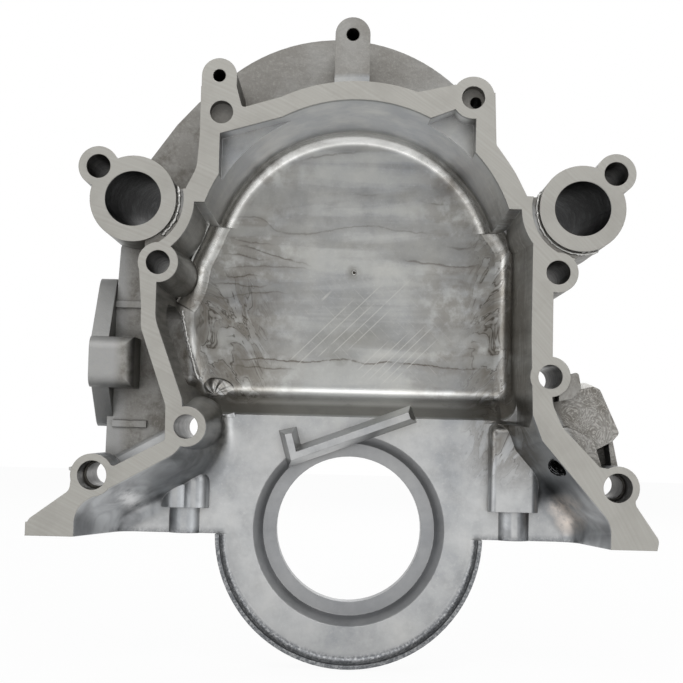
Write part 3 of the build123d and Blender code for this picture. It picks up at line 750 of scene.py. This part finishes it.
def fixed_piece(name, shape, material, most_corners):
    """Makes an object that rides on the cover; faces up to so many corners are shaded smooth."""
    bmesh.ops.recalc_face_normals(shape, faces=shape.faces)
    data = bpy.data.meshes.new(name)
    shape.to_mesh(data)
    shape.free()
    for face in data.polygons:
        face.use_smooth = len(face.vertices) <= most_corners
    data.materials.append(material)
    made = bpy.data.objects.new(name, data)
    bpy.context.scene.collection.objects.link(made)
    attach(made, "root")
    return made


def tube_between(shape, sections):
    """Joins rings of equal length with four-cornered faces and closes both ends."""
    for first, last in zip(sections, sections[1:]):
        for turn in range(len(first)):
            following = (turn + 1) % len(first)
            shape.faces.new((first[turn], first[following], last[following], last[turn]))
    shape.faces.new(sections[0][::-1])
    shape.faces.new(sections[-1])


print("pieces are closed and ride on the cover")

# %% [markdown]
# ## Burrs and flash
# Where a mill breaks through a wall it leaves a torn, bright burr, and where the two halves of the
# die meet, metal squeezes out as a thin flash. Both are lumpy beads, so one function lays a bead
# along a path: a tube whose radius changes at random, drawn from a fixed seed so that every run is
# the same, and half sunk in the surface that it clings to.

# %% Bead along a path
import random

bead_step, bead_sides = 0.7, 7


def bead(name, path, radius, seed, rise=0.6, material=torn):
    """Lumpy bead through X, Y and Z points in mm, flattened along Y by a rise under 1."""
    chance = random.Random(seed)
    points = [Vector(p) for p in path]
    steps = []
    for first, last in zip(points, points[1:]):
        count = max(1, round((last - first).length / bead_step))
        steps += [first.lerp(last, i / count) for i in range(count)]
    steps.append(points[-1])
    shape = bmesh.new()
    rings = []
    for index, point in enumerate(steps):
        ahead = steps[min(index + 1, len(steps) - 1)] - steps[max(index - 1, 0)]
        side = ahead.cross(Vector((0, 1, 0)))
        side = side.normalized() if side.length > 1e-6 else Vector((1, 0, 0))
        up = side.cross(ahead).normalized()
        taper = min(1.0, 0.35 + 0.3 * min(index, len(steps) - 1 - index))
        size = radius * taper * chance.uniform(0.55, 1.45)
        centre = point + Vector([chance.uniform(-0.25, 0.25) * radius for _ in range(3)])
        ring = []
        for turn in range(bead_sides):
            angle = 2 * math.pi * turn / bead_sides
            reach = size * chance.uniform(0.8, 1.2)
            corner = (centre + side * reach * math.cos(angle)
                      + up * reach * rise * math.sin(angle))
            ring.append(shape.verts.new(corner / 1000))
        rings.append(ring)
    tube_between(shape, rings)
    return fixed_piece(name, shape, material, bead_sides)


burr = bead("arm_opening_burr", [(-83.8, 60.2, 104.0), (-82.6, 60.3, 97.0), (-80.9, 60.3, 90.0),
                                 (-79.0, 60.3, 83.0), (-77.0, 60.3, 76.0), (-75.2, 60.3, 70.5),
                                 (-72.8, 60.0, 66.0)], 0.8, 3)
print("burr of", len(burr.data.vertices), "points")


# %% Flash round both ports
def arc(centre, radius, start, end, arc_depth, count=14):
    """Points on a circle round an axis along Y, with its angles in degrees from X towards Z."""
    angles = [math.radians(start + (end - start) * i / count) for i in range(count + 1)]
    return [(centre[0] + radius * math.cos(angle), arc_depth,
             centre[1] + radius * math.sin(angle)) for angle in angles]


left_port, right_port = port_axes[0][0], port_axes[1][0]
bead("left_port_flash", arc(left_port, 20.6, -52, 18, 2.4), 0.9, 5)
bead("right_port_flash", arc(right_port, 20.3, 158, 292, 2.4), 0.7, 8)
print("flash round both ports")

# %% [markdown]
# ## Soft feet of walls and of a boss
# Where the round part of the chamber passes into the straight side walls, and where the low left
# bolt boss stands on the lower floor, the real metal rises in one soft curve that wanders with the
# wall. A rounding of the whole edge would miss that, so a strip with a quarter-circle hollow is
# laid along each foot: at each point of the path the section is the hollow arc, closed behind it
# inside the metal. The path itself is smoothed by a curve that passes through every given point.

# %% Smooth path
def smooth_path(corners, steps=5):
    """Points of a smooth curve through X and Z corners."""
    points = [Vector((x, 0, z)) for x, z in corners]
    smooth = []
    for index in range(len(points) - 1):
        here, after = points[index], points[index + 1]
        before = points[max(index - 1, 0)]
        later = points[min(index + 2, len(points) - 1)]
        for step in range(steps):
            t = step / steps
            smooth.append(0.5 * (2 * here + (after - before) * t
                                 + (2 * before - 5 * here + 4 * after - later) * t * t
                                 + (3 * here - before - 3 * after + later) * t ** 3))
    return smooth + [points[-1]]


print("a smooth path has 5 steps from corner to corner")


# %% Hollow strip
def hollow_strip(name, foot, inside_x, radius, floor_depth):
    """Concave fillet on a floor of the casting, open towards the inside_x side of its foot."""
    strip = bmesh.new()
    smooth = smooth_path(foot)
    sections = []
    for index, point in enumerate(smooth):
        ahead = smooth[min(index + 1, len(smooth) - 1)] - smooth[max(index - 1, 0)]
        inward = Vector((ahead.z, 0, -ahead.x)).normalized()
        if inward.x * inside_x < 0:
            inward.negate()
        section = []
        for turn in range(9):
            angle = math.radians(90 * turn / 8)
            edge = point + inward * (radius * (1 - math.cos(angle)) - 0.45)
            section.append((edge.x, floor_depth + 0.05 - radius + radius * math.sin(angle),
                            edge.z))
        behind = point - inward * 1.4
        section += [(behind.x, floor_depth + 0.6, behind.z),
                    (behind.x, floor_depth - radius, behind.z)]
        sections.append([strip.verts.new(Vector(corner) / 1000) for corner in section])
    tube_between(strip, sections)
    made = fixed_piece(name, strip, aluminium, 4)
    made.data.set_sharp_from_angle(angle=math.radians(50))
    return made


print("a strip has a quarter-circle hollow in 8 steps")

# %% Lay the strips
lower_floor = 42.0
hollow_strip("left_wall_fillet",
             [(-65.4, 154.5), (-68.3, 148.4), (-70.9, 143.0), (-73.2, 137.2), (-75.8, 131.6),
              (-78.0, 126.4), (-79.0, 121.6), (-79.9, 116.2), (-82.0, 111.0), (-84.6, 106.4)],
             1, 9.2, chamber_floor)
hollow_strip("right_wall_fillet",
             [(65.2, 154.6), (68.6, 148.2), (73.2, 142.2), (76.3, 136.5), (77.9, 131.0),
              (78.0, 125.0), (77.9, 119.0)], -1, 9.2, chamber_floor)
low_bolt_foot = [(x, z) for x, _, z in arc((-73.6, 46.8), 13.5, 23, -70, 0.0, 8)]
hollow_strip("low_bolt_fillet", low_bolt_foot, 1, 7.0, lower_floor)
print("fillet strips on both side walls and round the low bolt boss")

# %% [markdown]
# ## Torn lump in the corner
# In the lower left corner of the chamber the cutter for the pump arm's opening stopped against the
# floor and left a rough lump with furrows that fan out from its top. It is a low dome made of rings
# of points, whose height is broken by ridges that follow the angle and by a little chance.

# %% Lump
chance = random.Random(21)
lump = bmesh.new()
lump_x, lump_z = -66.5, 62.6
half_long, half_high, ridges = 11.0, 8.5, 11
rings = []
for ring_index in range(11):
    share = ring_index / 10
    ring = []
    for turn in range(48):
        angle = 2 * math.pi * turn / 48
        ridge = (0.9 * math.sin(angle * ridges + 2.5 * share) * share * (1 - share) * 2
                 + chance.uniform(-0.14, 0.14) * (1 - share))
        height = 3.6 * (1 - share ** 1.6) + ridge - 0.6
        ring.append(lump.verts.new(((lump_x + half_long * share * math.cos(angle)) / 1000,
                                    (chamber_floor - 0.5 - height) / 1000,
                                    (lump_z + half_high * share * math.sin(angle)) / 1000)))
        if ring_index == 0:
            break
    rings.append(ring)
for turn in range(48):
    following = (turn + 1) % 48
    lump.faces.new((rings[0][0], rings[1][turn], rings[1][following]))
    for inner, outer in zip(rings[1:], rings[2:]):
        lump.faces.new((inner[turn], outer[turn], outer[following], inner[following]))
lump.faces.new(rings[-1])
corner_lump = fixed_piece("corner_lump", lump, aluminium, 9)
print("lump of", len(corner_lump.data.polygons), "faces")

# %% [markdown]
# ## Thread of the dipstick hole
# The hole in the right scoop is tapped. Its thread is a helix that hugs the wall of the hole, with
# the real pitch of about 1.3 mm, built by the bead function with a round, lumpy section.

# %% Thread
pitch, steps_a_turn, thread_turns, thread_radius = 1.3, 20, 9, 4.45
across_hole = stick_axis.cross(Vector((0, 0, 1))).normalized()
up_hole = across_hole.cross(stick_axis)
helix = []
for step in range(steps_a_turn * thread_turns):
    angle = step * math.pi / 10
    along = stick_mouth + stick_axis * (6.5 + pitch * step / steps_a_turn)
    helix.append(along + (across_hole * math.cos(angle) + up_hole * math.sin(angle))
                 * thread_radius)
thread = bead("dipstick_thread", helix, 0.34, 34, rise=1.0, material=aluminium)
print("thread of", thread_turns, "turns,", len(thread.data.vertices), "points")

# %% [markdown]
# ## Casting nubs
# Two bosses carry a small nub where the die filled past its edge. Each is a short straight bead
# along the boss.

# %% Nubs
bead("mid_boss_nub", [(97.9, 1.2 + step, 72.7) for step in range(0, 10)], 1.3, 41, rise=1.0)
bead("left_dowel_nub", [(-124.2, 1.2 + step, 26.8) for step in range(0, 9)], 1.0, 43, rise=1.0)
print("nubs on the right middle boss and the left dowel boss")

# %% [markdown]
# ## Ring of the punch mark
# The punch pushed a small ring of metal up round its point. A bead on a tiny circle gives it.

# %% Punch ring
bead("punch_ring", arc((punch_x, punch_z), 0.95, 0, 345, 61.95, 12), 0.3, 13)
print("punch ring 1.9 mm across")
